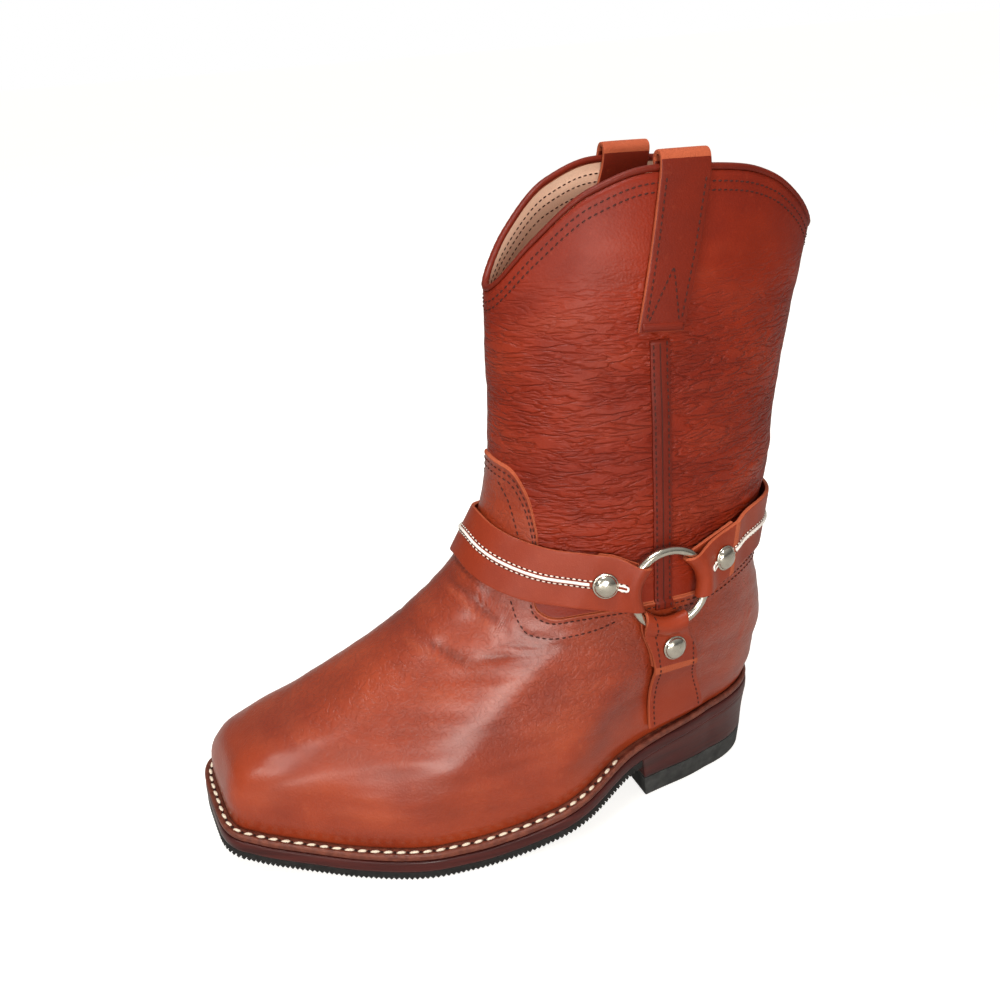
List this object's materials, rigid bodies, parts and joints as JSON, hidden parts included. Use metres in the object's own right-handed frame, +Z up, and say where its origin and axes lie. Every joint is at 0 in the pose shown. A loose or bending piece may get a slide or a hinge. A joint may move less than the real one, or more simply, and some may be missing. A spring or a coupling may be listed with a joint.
{
  "type": "western boot",
  "caption": "Pull-on western boot for the left foot with a squared toe, scalloped collar, pull straps, stacked heel and a riveted ring harness.",
  "frame": {"origin": "on the flat underside of the heel, under the ankle, 24 mm behind the heel's breast", "axes": "-Y towards the toe, +X towards the outer side of the left foot, +Z up"},
  "size_m": [0.1104, 0.3109, 0.3107],
  "materials": {
    "lining": "natural lining leather",
    "nickel": "polished nickel plate",
    "rubber": "matte",
    "sole_edge": "burnished and polished edge",
    "strap_leather": "smooth satin leather",
    "upper_leather": "pull-up leather, satin",
    "welt_leather": "waxed",
    "white_piping": "smooth"
  },
  "bodies": {
    "root": {"upper": "upper_leather", "welt": "welt_leather", "midsole": "sole_edge", "outsole": "rubber", "insole": "lining", "heel_stack": "sole_edge", "heel_lift": "rubber", "topline_bead": "upper_leather", "ring_outer": "nickel", "ring_inner": "nickel", "harness_front_strap": "strap_leather", "piping_front": "white_piping", "rivet_front_outer": "nickel", "rivet_front_inner": "nickel", "harness_back_strap": "strap_leather", "piping_back": "white_piping", "rivet_back_outer": "nickel", "rivet_back_inner": "nickel", "harness_lower_strap_outer": "strap_leather", "rivet_lower_outer": "nickel", "harness_lower_strap_inner": "strap_leather", "rivet_lower_inner": "nickel", "pull_strap_outer": "strap_leather", "tape_outer": "upper_leather", "pull_strap_inner": "strap_leather", "tape_inner": "upper_leather"}
  },
  "joints": []
}
